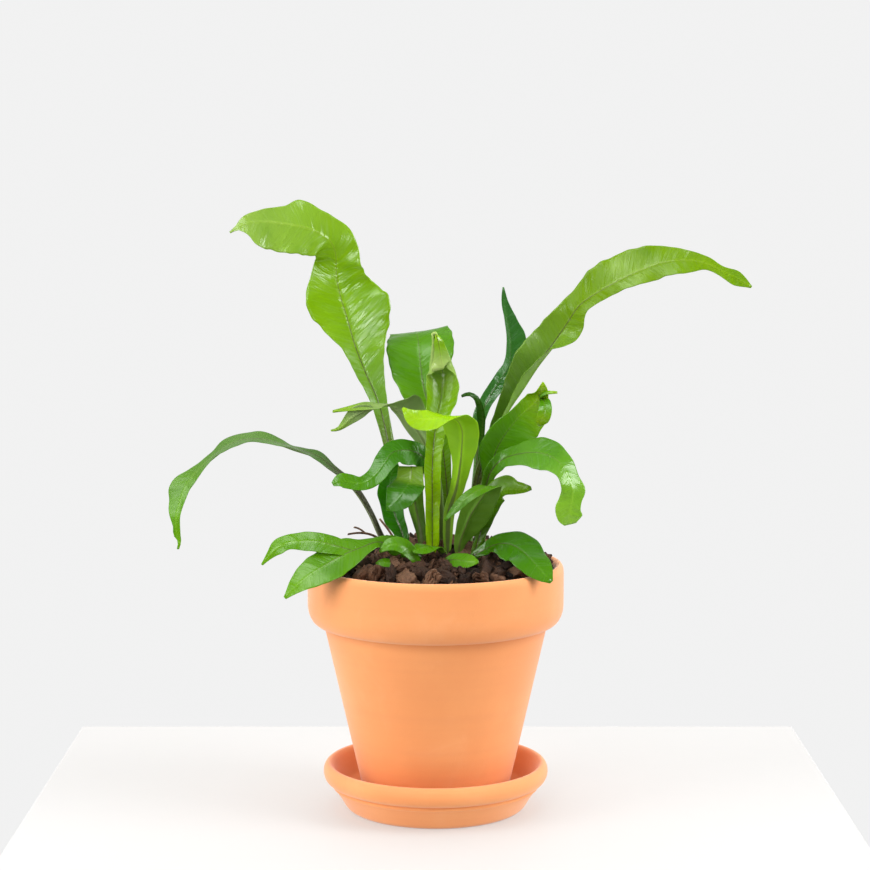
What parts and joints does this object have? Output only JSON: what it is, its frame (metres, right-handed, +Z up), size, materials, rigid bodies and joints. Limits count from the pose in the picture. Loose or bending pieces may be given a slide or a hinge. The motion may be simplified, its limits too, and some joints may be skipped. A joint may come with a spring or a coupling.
{
  "type": "potted bird's nest fern",
  "caption": "Bird's nest fern with arching, waved strap fronds in a bark mix, standing in a collared terracotta pot on a matching saucer.",
  "frame": {"origin": "middle of the saucer's foot, on the table", "axes": "+X to the right seen from the front, +Y away from the viewer, +Z up"},
  "size_m": [0.3335, 0.1607, 0.3562],
  "materials": {
    "terracotta": "unglazed terracotta",
    "bark": "damp dark bark chips",
    "leaf": "glossy living leaf",
    "leaf_young": "bright young leaf",
    "dry_twig": "dry dead stalk"
  },
  "bodies": {
    "root": {"saucer": "terracotta", "pot": "terracotta", "substrate": "bark", "frond_tall_left": "leaf_young", "frond_tall_right": "leaf", "frond_spear_right": "leaf", "frond_arch_left": "leaf", "frond_crook_left": "leaf", "frond_back": "leaf", "frond_hood": "leaf_young", "frond_flop": "leaf_young", "frond_mid_left": "leaf", "frond_curl_left": "leaf", "frond_broad_left": "leaf", "frond_crested_right": "leaf", "frond_arch_right": "leaf", "frond_cup_right": "leaf", "frond_nod_right": "leaf", "frond_crozier": "leaf", "frond_low_left": "leaf", "frond_low_right": "leaf", "frond_low_front_left": "leaf", "frond_low_front_right": "leaf", "dry_twig": "dry_twig"}
  },
  "joints": []
}
